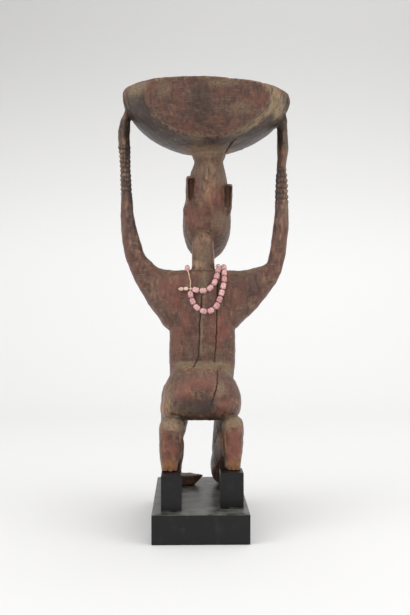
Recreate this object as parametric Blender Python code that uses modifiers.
"""Luba bowl bearer: a carved wooden figure that kneels and carries a bowl on its head.

The figure faces -Y and stands on a black base with two foot posts. The origin is the
centre of the base's underside, +Z is up and lengths are in metres. The tables of
sections give millimetres, because that is how a carver's sizes read best.
"""

import math
from dataclasses import dataclass

import bmesh
import bpy
from mathutils import Matrix, Vector
from mathutils.bvhtree import BVHTree

MM = 0.001
GAP = 0.3 * MM

# Mounting base and foot posts
BASE_WIDTH = 116.5 * MM
BASE_LENGTH = 227.0 * MM
BASE_HEIGHT = 35.0 * MM
BASE_EDGE = 0.9 * MM
POST_TOP = 78.0 * MM
POST_EDGE = 0.6 * MM
LEFT_POST_X = (22.6 * MM, 47.5 * MM)
LEFT_POST_Y = (66.0 * MM, 98.0 * MM)
RIGHT_POST_X = (-52.5 * MM, -24.0 * MM)
RIGHT_POST_Y = (50.0 * MM, 82.0 * MM)

# Bowl, measured outside at the rim
BOWL_CENTRE = Vector((-9.0 * MM, 4.0 * MM, 0.0))
BOWL_RIM_HEIGHT = 554.0 * MM
BOWL_DEPTH = 77.0 * MM
BOWL_HALF_WIDTH = 107.5 * MM
BOWL_HALF_LENGTH = 100.0 * MM
BOWL_WALL = 9.0 * MM
BOWL_FLOOR = 12.0 * MM
BOWL_RIM_TILT = math.tan(math.radians(1.6))
BOWL_SIDES = 36
BOWL_STEPS = 6
BOWL_FLAT = 1.2 * MM
BOWL_CUT_ABOVE = 12.0 * MM
# Roundness of the profile on the left and on the right side: 2 is a quarter ellipse
BOWL_ROUNDNESS = (2.0, 1.82)
# The back of the bowl is hewn flatter than its sides, up to a ridge on each side:
# its reach behind the axis shrinks with depth by a straight and a curved share.
BOWL_BACK_REACH = 99.0 * MM
BOWL_BACK_TAPER = (0.33, 0.34)
BOWL_BACK_CURVE = 115.0 * MM

# Necklace
BEAD_LENGTH = 8.4 * MM
BEAD_RADIUS = 3.6 * MM
BEAD_END_RADIUS = 1.9 * MM
BEAD_SHOULDER = 0.5
BEAD_HOLE_RADIUS = 1.15 * MM
BEAD_SIDES = 6
STRING_RADIUS = 0.5 * MM
KNOT_RADIUS = 1.3 * MM
ROUTE_CLEARANCE = 1.0 * MM
ROUTE_STEP = 1.0 * MM
ROUTE_LAYINGS = 3
ROUTE_RELAXINGS = 6
BEND_ROOM = 1.15
BISECTIONS = 30

# Carving
VOXEL = 2.0 * MM
SMOOTH_PASSES = 5
BODY_TRIANGLES = 3300
RING_SIDES = 24
FOREARM_SIDES = 8
EAR_SIDES = 16
FORM_SIDES = 20
FORM_RINGS = 12
ROUNDING = 1e-9


@dataclass(frozen=True)
class Section:
    """One cross section of a limb: its centre and half sizes in millimetres."""

    x: float
    y: float
    z: float
    wide: float
    deep: float
    square: float = 2.0

    @property
    def centre(self):
        return Vector((self.x, self.y, self.z)) * MM


@dataclass(frozen=True)
class Slice:
    """One slice of an arm from edge to edge in X and Z, its place and half depth along Y."""

    inner: tuple
    outer: tuple
    y: float
    deep: float
    square: float = 2.0


# Level sections, bottom to top: wide is along X, deep along Y
TRUNK = (
    Section(-1.5, 6, 158, 38, 26, 2.3),
    Section(-2.5, 5, 188, 40.5, 27, 2.4),
    Section(-3, 4, 214, 41.8, 28, 2.4),
    Section(-3.1, 4, 237, 41.8, 30, 2.4),
    Section(-3.1, 5, 260, 41.0, 31, 2.4),
    Section(-3.5, 6, 284, 40.0, 29, 2.4),
    Section(-4, 8, 306, 37.0, 25, 2.3),
    Section(-4.5, 9, 321, 33.0, 19, 2.2),
    Section(-4.5, 9, 326, 30.0, 14, 2.2),
)
PELVIS = (
    Section(0, 14, 137, 43, 36, 2.4),
    Section(-0.2, 16, 143, 49.1, 44, 2.4),
    Section(-0.5, 17, 150, 50.4, 48, 2.4),
    Section(-2.2, 18, 163, 49.8, 50, 2.4),
    Section(-1.9, 17, 177, 47.3, 48, 2.3),
    Section(-1.5, 15.5, 189, 42.5, 43, 2.4),
    Section(-1.2, 13, 200, 36.5, 37, 2.4),
    Section(-1.0, 10, 208, 28, 27, 2.2),
)
NECK = (
    Section(-4.6, 8, 316, 16.5, 17, 2.2),
    Section(-4.6, 8, 328, 14.4, 15, 2.2),
    Section(-4.6, 8, 350, 14.2, 14.5, 2.2),
    Section(-4.8, 6, 366, 14.0, 14.5, 2.2),
    Section(-5.0, 3, 375, 10.5, 13, 2.2),
)
HEAD = (
    Section(-10.4, -50, 343, 9, 12),
    Section(-10.4, -46, 350, 17, 22),
    Section(-10.4, -41, 361, 24.5, 33),
    Section(-10.4, -35, 375, 29.5, 42),
    Section(-10.4, -32.5, 388, 31.6, 45),
    Section(-10.6, -30.5, 405, 31.4, 46),
    Section(-11.4, -27.5, 427, 28.6, 46.5),
    Section(-11.6, -22.5, 445, 24.8, 43),
    Section(-11.8, -15.5, 456, 22.0, 37),
    Section(-12.2, -6.5, 466, 18.8, 27),
    Section(-12.4, -2.5, 471, 18.4, 22),
    Section(-12.4, -1.5, 477, 21.9, 24),
    Section(-12.0, -0.5, 483, 21.5, 23),
    Section(-11.0, 0, 489, 20.0, 21),
)
# Ears: an upright plate on each side of the head, and the hollow cut behind it
LEFT_EAR = (
    Section(12.0, -9, 411, 3.0, 7, 2.6),
    Section(11.4, -8.5, 419, 6.0, 12, 3),
    Section(11.4, -8, 431, 6.1, 13.5, 3.6),
    Section(11.1, -8, 449.4, 6.2, 13.5, 3.6),
)
LEFT_HOLLOW = (
    Section(11.6, 2, 413.5, 1.4, 7, 2.6),
    Section(11.2, 1, 422, 3.0, 13, 3),
    Section(10.9, 1, 446.8, 3.9, 14, 3.6),
)
RIGHT_EAR = (
    Section(-38.0, -8, 401, 2.6, 7, 2.6),
    Section(-37.6, -7.5, 409, 4.8, 12, 3),
    Section(-37.9, -7, 421, 5.0, 13.5, 3.6),
    Section(-38.2, -7, 440.2, 5.2, 13.5, 3.6),
)
RIGHT_HOLLOW = (
    Section(-37.2, 3, 403.5, 1.6, 7, 2.6),
    Section(-36.8, 2, 412, 3.6, 13, 3),
    Section(-36.5, 2, 437.6, 4.7, 14, 3.6),
)
LEFT_FOOT = (
    Section(38.0, 65, 78.4, 10.0, 12.5, 3),
    Section(37.4, 62, 95, 12.0, 16, 3),
    Section(36.0, 57, 115, 14.0, 21, 3),
    Section(35.0, 54, 131, 15.2, 24, 2.6),
    Section(34.5, 52, 138, 13.0, 22, 2.4),
    Section(34.5, 50, 142, 8.0, 16, 2.2),
)
RIGHT_FOOT = (
    Section(-40.6, 57, 78.4, 8.9, 12.5, 3),
    Section(-41.0, 54, 95, 10.6, 16, 3),
    Section(-41.0, 49, 115, 12.3, 21, 3),
    Section(-40.6, 46, 131, 13.2, 24, 2.6),
    Section(-40.0, 44, 138, 12.0, 22, 2.4),
    Section(-38.5, 42, 142, 8.0, 16, 2.2),
)
# Sections square to the limb: deep is along X, wide is square to both
LEFT_CALF = (
    Section(35.5, 58, 112, 24, 14.5, 2.4),
    Section(35.6, 30, 99, 23, 15.2, 2.4),
    Section(36.5, -15, 79, 22.5, 14, 2.4),
    Section(37, -55, 60.5, 22.5, 13.2, 2.4),
    Section(37, -77, 55, 19.5, 12.5, 2.2),
    Section(37, -90, 57, 12, 8, 2),
)
LEFT_THIGH = (
    Section(32.5, 28, 163, 24, 15.5, 2.4),
    Section(33.4, -16, 152, 25, 16.4, 2.4),
    Section(34.2, -50, 125, 23, 16.4, 2.4),
    Section(36.4, -72, 93, 19.5, 13.8, 2.2),
    Section(37, -76, 70, 17.5, 12.5, 2.2),
    Section(37, -72, 55, 14, 9, 2),
)
RIGHT_CALF = (
    Section(-37.5, 49, 112, 24, 14.8, 2.4),
    Section(-36.5, 24, 99, 23, 15.5, 2.4),
    Section(-34.3, -15, 79, 22.5, 16.9, 2.4),
    Section(-33.2, -55, 60.5, 22.5, 16.4, 2.4),
    Section(-33.5, -77, 55, 19.5, 14, 2.2),
    Section(-33.5, -90, 57, 12, 9, 2),
)
RIGHT_THIGH = (
    Section(-35, 28, 163, 24, 13.8, 2.4),
    Section(-35.9, -16, 152, 25, 14.7, 2.4),
    Section(-35.7, -50, 125, 23, 14.5, 2.4),
    Section(-34, -72, 93, 19.5, 14.5, 2.2),
    Section(-33.5, -76, 70, 17.5, 14, 2.2),
    Section(-33.5, -72, 55, 14, 10, 2),
)
# Upper arms as slices from the inner edge to the outer edge, seen from behind
LEFT_UPPER_ARM = (
    Slice((8, 325), (10, 250), 8, 24, 2.4),
    Slice((30, 326), (41, 250), 7, 23, 2.4),
    Slice((47.4, 327.4), (55.2, 267.6), 6, 20, 2.3),
    Slice((56, 331), (66.9, 283.2), 5, 17.5, 2.2),
    Slice((63, 337.8), (76, 298.8), 4.5, 15.5, 2.1),
    Slice((69, 343.5), (83.5, 312), 4, 14),
    Slice((72.5, 350.5), (90, 327), 4, 13),
    Slice((74.5, 357), (96.3, 344.5), 4, 12.3),
    Slice((76, 361.2), (99.4, 361.2), 4, 11.8),
    Slice((79.6, 373), (101, 373), 4, 11.2),
)
RIGHT_UPPER_ARM = (
    Slice((-16, 325), (-18, 250), 8, 24, 2.4),
    Slice((-36, 325.5), (-47, 251), 7, 23, 2.4),
    Slice((-50, 326), (-56, 262), 6.5, 21, 2.3),
    Slice((-62, 327), (-69.6, 275.4), 6, 18.5, 2.2),
    Slice((-73.5, 330), (-82.6, 291), 5, 16, 2.1),
    Slice((-81, 332.5), (-94.3, 306.6), 4.5, 14.5),
    Slice((-86.5, 335), (-103.2, 322.2), 4, 13),
    Slice((-88.6, 339), (-108.4, 337.5), 4, 12.3),
    Slice((-91.4, 352), (-111, 352), 4, 11.8),
    Slice((-94, 367), (-112.4, 367), 4, 11.2),
)
# Level sections of the forearms and hands
LEFT_FOREARM = (
    Section(88.8, 4, 365, 11.2, 11.6),
    Section(91.0, 4, 377, 10.4, 11),
    Section(92.2, 4, 384.6, 9.7, 10.6),
    Section(93.5, 4, 400, 8.4, 10),
    Section(94.2, 4, 415.8, 7.6, 9.4),
    Section(96.0, 4, 447, 6.8, 8.8),
    Section(97.0, 4, 478, 7.2, 9.0),
    Section(97.9, 4, 506, 7.8, 9.4),
    Section(97.4, 4, 515, 7.8, 10),
)
RIGHT_FOREARM = (
    Section(-102.2, 4, 358, 9.8, 11.4),
    Section(-103.4, 4, 369, 9.2, 11),
    Section(-105.4, 4, 384.6, 9.6, 10.6),
    Section(-107.2, 4, 400, 9.0, 10),
    Section(-107.2, 4, 416, 8.6, 9.4),
    Section(-106.2, 4, 444, 6.4, 8.8),
    Section(-106.0, 4, 462.6, 5.0, 8.6),
    Section(-107.8, 4, 484, 6.8, 9.0),
    Section(-107.9, 4, 506, 6.9, 9.4),
    Section(-108.2, 5, 514, 7.2, 10),
)
LEFT_HAND = (
    Section(97.2, 4, 512, 6.8, 9.6),
    Section(96.4, 5, 521, 6.6, 11.5, 2.4),
    Section(94.6, 6, 529, 5.2, 13, 2.4),
    Section(92.5, 6, 536, 3.4, 13.5, 2.4),
)
RIGHT_HAND = (
    Section(-107.6, 5, 510, 6.6, 9.6),
    Section(-106.6, 8, 520, 6.8, 13, 2.4),
    Section(-104.6, 12, 528, 5.8, 16, 2.4),
    Section(-103.2, 15, 536, 4.6, 18, 2.4),
)
# Fingers on the bowl: angles round it, seen from above, and their root and tip heights
LEFT_FINGERS = (-8, 0, 8, 16)
RIGHT_FINGERS = (173.5, 165.5, 157.5, 149.5)
FINGER_HEIGHTS = (531 * MM, 541 * MM, 550 * MM)
FINGER_HALF_WIDTHS = (4.0 * MM, 3.6 * MM, 2.4 * MM)
FINGER_FLATNESS = 0.8
FINGER_STAND_OFF = -0.25
FINGER_SIDES = 6

# Raised rows on the forearms: first height, number of rows, spacing and height of relief
LEFT_ROWS = (430 * MM, 8, 8.0 * MM)
RIGHT_ROWS = (422 * MM, 7, 7.6 * MM)
ROW_RELIEF = 1.2 * MM

# Rounded forms laid on the body: centre, half sizes in millimetres, turn about Z in degrees
BREASTS = (
    ((15, -27, 268), (13, 16, 15), 0),
    ((-22, -27, 268), (13, 16, 15), 0),
)
NAVEL = ((-3, -25, 214), (6, 5, 6), 0)
LEFT_LOBE = ((18.4, -10, 405), (3.4, 5, 6), 0)
FACE_FORMS = (
    ((-10.4, -76, 393), (5, 6, 16), 0),
    ((-10.4, -79, 383.5), (7.2, 5.5, 4.6), 0),
    ((-23, -69.5, 402), (8.4, 6, 4.8), -20),
    ((2.2, -69.5, 402), (8.4, 6, 4.8), 20),
    ((-23, -69.5, 411), (11, 5, 3.2), -20),
    ((2.2, -69.5, 411), (11, 5, 3.2), 20),
    ((-10.4, -74.8, 371), (8.6, 5, 2.6), 0),
    ((-10.4, -73.6, 366.4), (7.6, 5, 2.6), 0),
    ((-10.4, -65, 355), (9, 6, 6), 0),
)

# Broken remnant of the carved plinth under the left knee: outline seen from above
REMNANT_OUTLINE = ((38, -52), (6, -54), (-7.4, -60), (-2, -68), (12, -77), (38, -78))
REMNANT_HEIGHT = (GAP, 13 * MM)
REMNANT_SLANT = 0.72

# Necklace routes between its two knots, as points close to the body in millimetres
BACK_KNOT = (12.3, 40, 302)
FRONT_KNOT = (22, -28, 303)
OUTER_ROUTE = (
    (13.2, 40, 299), (12.7, 40, 293), (9.8, 40, 286.5), (5.8, 40, 279), (-1.2, 40, 273.8),
    (-10.7, 40, 272.5), (-19, 40, 276.2), (-24, 40, 284), (-27.4, 40, 293.5), (-29.4, 38, 303),
    (-31.2, 34, 314), (-31.5, 26, 325), (-31.8, 12, 330), (-31.5, -2, 326), (-30, -18, 312),
    (-25, -34, 297), (-15, -40, 286), (-3, -40, 281), (9, -40, 285), (18, -36, 294),
)
INNER_ROUTE = (
    (9.9, 40, 301.6), (2, 40, 299.4), (-7, 40, 299), (-13.5, 40, 302), (-18.6, 38, 308.5),
    (-21.8, 34, 317), (-23.4, 24, 327), (-24.2, 8, 331), (-24, -8, 322), (-19, -20, 310),
    (-9, -28, 303), (3, -30, 300.5), (14, -30, 302),
)
SHOULDER_ROUTE = (
    (12.4, 38, 305), (12.8, 36, 314), (15.2, 28, 325), (16.8, 14, 331),
    (17.5, 0, 329), (18.5, -14, 317), (20.6, -22, 308),
)
TAIL_ROUTE = ((15.6, 40, 302.4), (20, 40, 302.8), (31, 40, 302))
SHOULDER_BEAD_FROM = 24 * MM
TAIL_BEADS = 2
TAIL_BEAD_SCALE = 0.68
STRING_STEP = 6.0 * MM
STRING_LEAD = 0.8 * MM

# Finishes: name, colour and roughness
WOOD = ("carved_wood", (0.105, 0.062, 0.045), 0.55)
BLACK = ("black_wood", (0.012, 0.012, 0.013), 0.42)
ROSE_GLASS = ("rose_glass", (0.60, 0.30, 0.29), 0.22)
CREAM_GLASS = ("cream_glass", (0.66, 0.53, 0.40), 0.28)
COTTON = ("cotton_string", (0.62, 0.52, 0.36), 0.9)


def clear_scene():
    """Remove whatever the file holds."""
    for thing in list(bpy.data.objects):
        bpy.data.objects.remove(thing)


def new_collection(name):
    """A collection in the scene."""
    collection = bpy.data.collections.new(name)
    bpy.context.scene.collection.children.link(collection)
    return collection


def make_material(finish):
    """A Principled material of one colour."""
    name, colour, roughness = finish
    material = bpy.data.materials.new(name)
    material.use_nodes = True
    shader = material.node_tree.nodes["Principled BSDF"]
    shader.inputs["Base Color"].default_value = (*colour, 1.0)
    shader.inputs["Roughness"].default_value = roughness
    shader.inputs["Metallic"].default_value = 0.0
    return material


def object_from(mesh_builder, name, collection, material=None):
    """Turn a bmesh into an object with outward faces and one material."""
    bmesh.ops.recalc_face_normals(mesh_builder, faces=mesh_builder.faces)
    mesh = bpy.data.meshes.new(name)
    mesh_builder.to_mesh(mesh)
    mesh_builder.free()
    thing = bpy.data.objects.new(name, mesh)
    collection.objects.link(thing)
    if material:
        mesh.materials.append(material)
    return thing


def make_cutter(thing):
    """Mark an object as construction geometry."""
    thing.hide_render = True
    thing.display_type = "WIRE"
    return thing


def evaluated_mesh(thing):
    """The mesh of an object with its modifiers applied."""
    graph = bpy.context.evaluated_depsgraph_get()
    graph.update()
    return bpy.data.meshes.new_from_object(thing.evaluated_get(graph))


def boolean(thing, other, operation):
    """Add a Boolean modifier that joins or cuts with another object."""
    modifier = thing.modifiers.new(other.name, "BOOLEAN")
    modifier.operation = operation
    modifier.solver = "EXACT"
    modifier.object = other


# Lofts


def superellipse(angle, wide, deep, square):
    """A point on a rounded outline: square is 2 for an ellipse and more for a squarer one."""
    c, s = math.cos(angle), math.sin(angle)
    power = 2 / square
    return wide * math.copysign(abs(c) ** power, c), deep * math.copysign(abs(s) ** power, s)


def ring_of(section, wide_axis, deep_axis, sides):
    """The points round one section."""
    points = []
    for i in range(sides):
        u, v = superellipse(2 * math.pi * i / sides, section.wide, section.deep, section.square)
        points.append(section.centre + (wide_axis * u + deep_axis * v) * MM)
    return points


def add_loft(builder, rings):
    """Join rings of equal length into a closed skin."""
    rows = [[builder.verts.new(point) for point in ring] for ring in rings]
    sides = len(rows[0])
    for lower, upper in zip(rows, rows[1:]):
        for i in range(sides):
            j = (i + 1) % sides
            builder.faces.new((lower[i], lower[j], upper[j], upper[i]))
    builder.faces.new(list(reversed(rows[0])))
    builder.faces.new(rows[-1])


def level_rings(sections, sides=RING_SIDES):
    """Rings of an upright form."""
    return [ring_of(section, Vector((1, 0, 0)), Vector((0, 1, 0)), sides) for section in sections]


def limb_rings(sections, deep_axis, sides=RING_SIDES):
    """Rings square to a limb, whose deep size lies along deep_axis."""
    rings = []
    last = len(sections) - 1
    for i, section in enumerate(sections):
        along = sections[min(i + 1, last)].centre - sections[max(i - 1, 0)].centre
        wide_axis = along.cross(deep_axis).normalized()
        true_deep = wide_axis.cross(along).normalized()
        rings.append(ring_of(section, wide_axis, true_deep, sides))
    return rings


def slice_rings(slices, sides=RING_SIDES):
    """Rings that reach from the inner to the outer edge of an arm."""
    rings = []
    for cut in slices:
        inner = Vector((cut.inner[0], cut.y, cut.inner[1]))
        outer = Vector((cut.outer[0], cut.y, cut.outer[1]))
        half = (outer - inner) / 2
        section = Section(*((inner + outer) / 2), half.length, cut.deep, cut.square)
        rings.append(ring_of(section, half.normalized(), Vector((0, 1, 0)), sides))
    return rings


def add_form(builder, centre, half_sizes, turn):
    """Lay an ellipsoid on the body."""
    scale = Matrix.Diagonal(Vector(half_sizes) * MM).to_4x4()
    place = Matrix.Translation(Vector(centre) * MM) @ Matrix.Rotation(math.radians(turn), 4, "Z") @ scale
    bmesh.ops.create_uvsphere(
        builder, u_segments=FORM_SIDES, v_segments=FORM_RINGS, radius=1, matrix=place
    )


# Carved figure


def build_body(collection, material):
    """The body and head without forearms and bowl: lofts fused, softened and faceted."""
    builder = bmesh.new()
    for sections in (TRUNK, PELVIS, NECK, HEAD, LEFT_FOOT, RIGHT_FOOT):
        add_loft(builder, level_rings(sections))
    for sections in (LEFT_CALF, LEFT_THIGH, RIGHT_CALF, RIGHT_THIGH):
        add_loft(builder, limb_rings(sections, Vector((1, 0, 0))))
    for slices in (LEFT_UPPER_ARM, RIGHT_UPPER_ARM):
        add_loft(builder, slice_rings(slices))
    for centre, half_sizes, turn in (*BREASTS, NAVEL, LEFT_LOBE, *FACE_FORMS):
        add_form(builder, centre, half_sizes, turn)
    body = object_from(builder, "figure", collection, material)

    remesh = body.modifiers.new("fuse", "REMESH")
    remesh.mode = "VOXEL"
    remesh.voxel_size = VOXEL
    soften = body.modifiers.new("soften", "SMOOTH")
    soften.iterations = SMOOTH_PASSES
    facet = body.modifiers.new("facet", "DECIMATE")
    facet.use_collapse_triangulate = True
    fused = len(evaluated_mesh(body).polygons) * 2
    facet.ratio = BODY_TRIANGLES / fused
    return body


def rowed_forearm(sections, rows):
    """Insert the raised rows between a forearm's own sections."""
    first, count, spacing = rows
    low, high = first - spacing / 2, first + spacing * (count - 0.5)
    heights = [section.z * MM for section in sections]
    stops = [(height, 0.0) for height in heights if height < low or height > high]
    for i in range(count):
        stops.append((first + (i - 0.5) * spacing, 0.0))
        stops.append((first + i * spacing, ROW_RELIEF))
    stops.append((high, 0.0))
    return [raised_section(sections, height, relief) for height, relief in sorted(stops)]


def raised_section(sections, height, relief):
    """The section at a height, grown by the relief of a row."""
    for below, above in zip(sections, sections[1:]):
        if height <= above.z * MM + ROUNDING:
            break
    t = (height / MM - below.z) / (above.z - below.z)

    def mix(name):
        return getattr(below, name) * (1 - t) + getattr(above, name) * t

    grow = relief / MM
    return Section(mix("x"), mix("y"), mix("z"), mix("wide") + grow, mix("deep") + grow, mix("square"))


def finger_rings(angle):
    """Rings of one finger, which follows the bowl's side upward."""
    angle = math.radians(angle)
    round_bowl = Vector((-math.sin(angle), math.cos(angle), 0))
    out = Vector((math.cos(angle), math.sin(angle), 0))
    rings = []
    for height, half in zip(FINGER_HEIGHTS, FINGER_HALF_WIDTHS):
        side = bowl_point(angle, height, bowl_radius(angle, height, 0.0))
        centre = side + out * half * FINGER_STAND_OFF
        section = Section(*(centre / MM), half / MM, half / MM * FINGER_FLATNESS)
        rings.append(ring_of(section, round_bowl, -out, FINGER_SIDES))
    return rings


def build_tools(skins, collection):
    """Closed skins, each from its name and its rings, for joining or cutting."""
    made = []
    for name, rings in skins:
        builder = bmesh.new()
        add_loft(builder, rings)
        made.append(make_cutter(object_from(builder, name, collection)))
    return made


def build_ears(collection):
    """The plates of both ears, and the hollows behind them."""
    plates = (("left_ear", LEFT_EAR), ("right_ear", RIGHT_EAR))
    hollows = (("left_ear_hollow", LEFT_HOLLOW), ("right_ear_hollow", RIGHT_HOLLOW))
    return [
        build_tools([(name, level_rings(cuts, EAR_SIDES)) for name, cuts in group], collection)
        for group in (plates, hollows)
    ]


def build_arm_ends(collection):
    """Forearms, hands and fingers, as tools that are joined to the body."""
    skins = []
    for side, arm, rows, hand, fingers in (
        ("left", LEFT_FOREARM, LEFT_ROWS, LEFT_HAND, LEFT_FINGERS),
        ("right", RIGHT_FOREARM, RIGHT_ROWS, RIGHT_HAND, RIGHT_FINGERS),
    ):
        skins.append((f"{side}_forearm", level_rings(rowed_forearm(arm, rows), FOREARM_SIDES)))
        skins.append((f"{side}_hand", level_rings(hand, FOREARM_SIDES)))
        for i, angle in enumerate(fingers, 1):
            skins.append((f"{side}_finger_{i}", finger_rings(angle)))
    return build_tools(skins, collection)


def bowl_radius(angle, height, inset):
    """Distance from the bowl's axis to its surface: round in profile, hewn flatter behind."""
    c, s = math.cos(angle), math.sin(angle)
    left, right = BOWL_ROUNDNESS
    roundness = left + (right - left) * (1 - c) / 2
    drop = (BOWL_RIM_HEIGHT - height) / (BOWL_DEPTH - inset)
    swell = max(0.0, 1 - drop**roundness) ** (1 / roundness)
    wide = (BOWL_HALF_WIDTH - inset) * swell
    long = (BOWL_HALF_LENGTH - inset) * swell
    radius = 1 / math.hypot(c / wide, s / long)
    straight, curved = BOWL_BACK_TAPER
    back = (BOWL_BACK_REACH - inset) * (1 - straight * drop - curved * drop**3)
    bend = c * c / BOWL_BACK_CURVE
    hewn = back / s if bend < ROUNDING else (math.sqrt(s * s + 2 * back * bend) - s) / bend
    return min(radius, hewn) if s > 0 else radius


def bowl_point(angle, height, radius):
    """A point of the bowl, whose rim rises a little towards +X."""
    x, y = radius * math.cos(angle), radius * math.sin(angle)
    lift = BOWL_RIM_TILT * x * max(0.0, 1 - (BOWL_RIM_HEIGHT - height) / BOWL_DEPTH)
    return BOWL_CENTRE + Vector((x, y, height + lift))


def bowl_rings(inset, lowest, top):
    """Rings of the bowl's outside, or of its inside when inset is its wall."""
    heights = []
    for step in range(BOWL_STEPS + 1):
        share = 1 - math.cos(step / BOWL_STEPS * math.pi / 2)
        heights.append(lowest + (BOWL_RIM_HEIGHT - lowest) * share)
    angles = [2 * math.pi * (i + 0.5) / BOWL_SIDES for i in range(BOWL_SIDES)]
    rings = [[bowl_point(a, h, bowl_radius(a, h, inset)) for a in angles] for h in heights]
    if top > 0:
        rings.append([point + Vector((0, 0, top)) for point in rings[-1]])
    return rings


def build_bowl(collection):
    """The bowl's outside and the hollow that is cut from it."""
    bottom = BOWL_RIM_HEIGHT - BOWL_DEPTH
    outside = bmesh.new()
    add_loft(outside, bowl_rings(0.0, bottom + BOWL_FLAT, 0.0))
    hollow = bmesh.new()
    add_loft(hollow, bowl_rings(BOWL_WALL, bottom + BOWL_FLOOR, BOWL_CUT_ABOVE))
    return (
        make_cutter(object_from(outside, "bowl_outside", collection)),
        make_cutter(object_from(hollow, "bowl_hollow", collection)),
    )


def build_remnant(collection):
    """The broken piece of the carved plinth: its free end leans out over the base."""
    builder = bmesh.new()
    low, high = REMNANT_HEIGHT
    rings = []
    for height, reach in ((low, REMNANT_SLANT), (high, 1.0)):
        ring = []
        for x, y in REMNANT_OUTLINE:
            knee_x = REMNANT_OUTLINE[0][0]
            pulled = knee_x + (x - knee_x) * (reach if x < 0 else 1.0)
            ring.append(Vector((pulled * MM, y * MM, BASE_HEIGHT + height)))
        rings.append(ring)
    add_loft(builder, rings)
    return make_cutter(object_from(builder, "plinth_remnant", collection))


def build_figure(collection, tools, material):
    """The whole carving: body, forearms, hands, bowl and plinth remnant in one solid."""
    figure = build_body(collection, material)
    outside, hollow = build_bowl(tools)
    ears, ear_hollows = build_ears(tools)
    for joined in (outside, *build_arm_ends(tools), *ears, build_remnant(tools)):
        boolean(figure, joined, "UNION")
    for cut in (hollow, *ear_hollows):
        boolean(figure, cut, "DIFFERENCE")
    return figure


# Base


def add_block(name, x_range, y_range, z_range, edge, collection, material):
    """A rectangular block with slightly rounded edges."""
    builder = bmesh.new()
    bmesh.ops.create_cube(builder, size=1.0)
    lows = Vector((x_range[0], y_range[0], z_range[0]))
    highs = Vector((x_range[1], y_range[1], z_range[1]))
    bmesh.ops.scale(builder, vec=highs - lows, verts=builder.verts)
    block = object_from(builder, name, collection, material)
    block.location = (lows + highs) / 2
    bevel = block.modifiers.new("edges", "BEVEL")
    bevel.width = edge
    bevel.segments = 1
    return block


def build_base(collection, material):
    """The base and the two posts that carry the broken feet."""
    half_width, half_length = BASE_WIDTH / 2, BASE_LENGTH / 2
    span_x, span_y = (-half_width, half_width), (-half_length, half_length)
    add_block("base", span_x, span_y, (0, BASE_HEIGHT), BASE_EDGE, collection, material)
    upright = (BASE_HEIGHT + GAP, POST_TOP)
    add_block("left_foot_post", LEFT_POST_X, LEFT_POST_Y, upright, POST_EDGE, collection, material)
    add_block("right_foot_post", RIGHT_POST_X, RIGHT_POST_Y, upright, POST_EDGE, collection, material)


# Necklace


def smooth_route(points):
    """A dense Catmull-Rom curve through hand-placed points."""
    knots = [Vector(point) * MM for point in points]
    knots = [knots[0] * 2 - knots[1], *knots, knots[-1] * 2 - knots[-2]]
    dense = []
    for a, b, c, d in zip(knots, knots[1:], knots[2:], knots[3:]):
        count = max(2, round((c - b).length / ROUTE_STEP))
        for i in range(count):
            t = i / count
            bow = 2 * a - 5 * b + 4 * c - d
            twist = 3 * b - a - 3 * c + d
            dense.append((2 * b + (c - a) * t + bow * t**2 + twist * t**3) / 2)
    dense.append(knots[-2])
    return dense


def laid_on(surface, points, distance):
    """Move points to a distance from the carved surface."""
    laid = []
    for point in points:
        foot, normal, _, _ = surface.find_nearest(point)
        laid.append(foot + normal * distance)
    return laid


def relax(points, passes):
    """Even out a route, its ends held."""
    for _ in range(passes):
        inner = [(a + 2 * b + c) / 4 for a, b, c in zip(points, points[1:], points[2:])]
        points = [points[0], *inner, points[-1]]
    return points


def body_route(surface, points, distance):
    """A route that lies on the body like a strung cord."""
    route = smooth_route(points)
    for _ in range(ROUTE_LAYINGS):
        route = relax(laid_on(surface, route, distance), ROUTE_RELAXINGS)
    return clear_of(surface, route, distance)


def clear_of(surface, points, distance):
    """Push out the points that are nearer to the surface than a distance."""
    cleared = []
    for point in points:
        foot, normal, _, _ = surface.find_nearest(point)
        away = (point - foot).dot(normal)
        cleared.append(point + normal * max(0.0, distance - away))
    return cleared


def point_at_reach(route, position, index, reach):
    """The first point of a route at a distance from a position, and its index, or None."""
    while index < len(route) and (route[index] - position).length < reach:
        index += 1
    if index == len(route):
        return None
    before, after = route[index - 1], route[index]
    low, high = 0.0, 1.0
    for _ in range(BISECTIONS):
        middle = (low + high) / 2
        if (before.lerp(after, middle) - position).length < reach:
            low = middle
        else:
            high = middle
    return before.lerp(after, high), index


def bead_after(route, position, index, length, spacing):
    """Both ends of a bead that follows a point of a route, and the index past it, or None."""
    begun = point_at_reach(route, position, index, spacing)
    ended = begun and point_at_reach(route, begun[0], begun[1], length)
    return ended and (begun[0], ended[0], ended[1])


def bead_ends(route, length):
    """Both ends of each bead that fits on a route: where it bends, the bead ends just touch."""
    far, index = point_at_reach(route, route[0], 1, length)
    ends = [(route[0], far)]
    while first_try := bead_after(route, far, index, length, GAP):
        start, end, _ = first_try
        turn = (end - start).angle(ends[-1][1] - ends[-1][0])
        spacing = GAP + 2 * BEAD_END_RADIUS * math.sin(turn / 2) * BEND_ROOM
        placed = bead_after(route, far, index, length, spacing)
        if not placed:
            break
        start, far, index = placed
        ends.append((start, far))
    return ends


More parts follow.
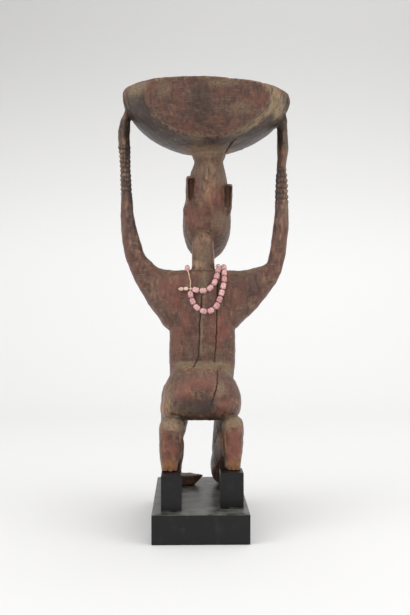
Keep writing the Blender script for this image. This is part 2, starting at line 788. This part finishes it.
def bead_mesh(scale):
    """A drilled barrel bead, its hole along X."""
    half, middle, end = BEAD_LENGTH / 2 * scale, BEAD_RADIUS * scale, BEAD_END_RADIUS * scale
    hole, waist = BEAD_HOLE_RADIUS, half * BEAD_SHOULDER
    wall = ((-half, end), (-waist, middle), (waist, middle), (half, end))
    outline = ((-half, hole), *wall, (half, hole))
    builder = bmesh.new()
    rows = []
    for i in range(BEAD_SIDES):
        angle = 2 * math.pi * i / BEAD_SIDES
        c, s = math.cos(angle), math.sin(angle)
        rows.append([builder.verts.new((x, r * c, r * s)) for x, r in outline])
    for row, following in zip(rows, rows[1:] + rows[:1]):
        for i in range(len(outline)):
            j = (i + 1) % len(outline)
            builder.faces.new((row[i], row[j], following[j], following[i]))
    bmesh.ops.recalc_face_normals(builder, faces=builder.faces)
    mesh = bpy.data.meshes.new("bead")
    builder.to_mesh(mesh)
    builder.free()
    return mesh


def place_bead(name, start, end, scale, collection, material):
    """Thread a bead on the chord between two points."""
    bead = bpy.data.objects.new(name, bead_mesh(scale))
    bead.data.materials.append(material)
    bead.location = (start + end) / 2
    bead.rotation_mode = "QUATERNION"
    bead.rotation_quaternion = (end - start).to_track_quat("X", "Z")
    collection.objects.link(bead)


def thread_string(name, points, collection, material):
    """A cotton string through the given points."""
    curve = bpy.data.curves.new(name, "CURVE")
    curve.dimensions = "3D"
    curve.bevel_depth = STRING_RADIUS
    curve.bevel_resolution = 0
    curve.use_fill_caps = True
    spline = curve.splines.new("POLY")
    spline.points.add(len(points) - 1)
    for control, point in zip(spline.points, points):
        control.co = (*point, 1.0)
    curve.materials.append(material)
    collection.objects.link(bpy.data.objects.new(name, curve))


def tie_knot(name, centre, collection, material):
    """A small round knot."""
    builder = bmesh.new()
    bmesh.ops.create_icosphere(builder, subdivisions=1, radius=KNOT_RADIUS)
    knot = object_from(builder, name, collection, material)
    knot.location = centre


def beside(knot, towards):
    """Where a string ends, just short of a knot."""
    return knot + (towards - knot).normalized() * (KNOT_RADIUS + GAP)


def threaded(ends):
    """A string's points through beads: it comes out straight at both ends of the row."""
    (first, second), (last_but_one, last) = ends[0], ends[-1]
    between = [(before[1] + after[0]) / 2 for before, after in zip(ends, ends[1:])]
    lead_in = first - (second - first).normalized() * STRING_LEAD
    lead_out = last + (last - last_but_one).normalized() * STRING_LEAD
    return [lead_in, *between, lead_out]


def build_necklace(figure, collection, rose, cream, cotton):
    """Two strands over the right shoulder, gathered to one string over the left one."""
    surface = BVHTree.FromObject(figure, bpy.context.evaluated_depsgraph_get())
    lie = BEAD_RADIUS + ROUTE_CLEARANCE
    back, front = laid_on(surface, [Vector(BACK_KNOT) * MM, Vector(FRONT_KNOT) * MM], lie)
    tie_knot("knot_back", back, collection, cotton)
    tie_knot("knot_front", front, collection, cotton)

    for strand, points in (("outer", OUTER_ROUTE), ("inner", INNER_ROUTE)):
        ends = bead_ends(body_route(surface, points, lie), BEAD_LENGTH)
        for i, (start, end) in enumerate(ends, 1):
            place_bead(f"bead_{strand}_{i:02d}", start, end, 1.0, collection, rose)
        strung = threaded(ends)
        string = [beside(back, strung[0]), *strung, beside(front, strung[-1])]
        thread_string(f"string_{strand}", string, collection, cotton)

    route = body_route(surface, SHOULDER_ROUTE, lie)
    start, index = point_at_reach(route, route[0], 1, SHOULDER_BEAD_FROM)
    end, after = point_at_reach(route, start, index, BEAD_LENGTH)
    place_bead("bead_shoulder", start, end, 1.0, collection, cream)
    every = round(STRING_STEP / ROUTE_STEP)
    rising, falling = route[: index - every // 2 : every], route[after + every // 2 :: every]
    string = [beside(back, rising[0]), *rising, start, end, *falling, beside(front, falling[-1])]
    thread_string("string_shoulder", string, collection, cotton)

    ends = bead_ends(body_route(surface, TAIL_ROUTE, lie), BEAD_LENGTH * TAIL_BEAD_SCALE)[:TAIL_BEADS]
    for i, (start, end) in enumerate(ends, 1):
        place_bead(f"bead_tail_{i}", start, end, TAIL_BEAD_SCALE, collection, cream)
    strung = threaded(ends)
    thread_string("string_tail", [beside(back, strung[0]), *strung], collection, cotton)


def main():
    clear_scene()
    parts = new_collection("luba_bowl_bearer")
    tools = new_collection("construction")
    figure = build_figure(parts, tools, make_material(WOOD))
    build_base(parts, make_material(BLACK))
    glass = make_material(ROSE_GLASS), make_material(CREAM_GLASS)
    build_necklace(figure, parts, *glass, make_material(COTTON))


main()
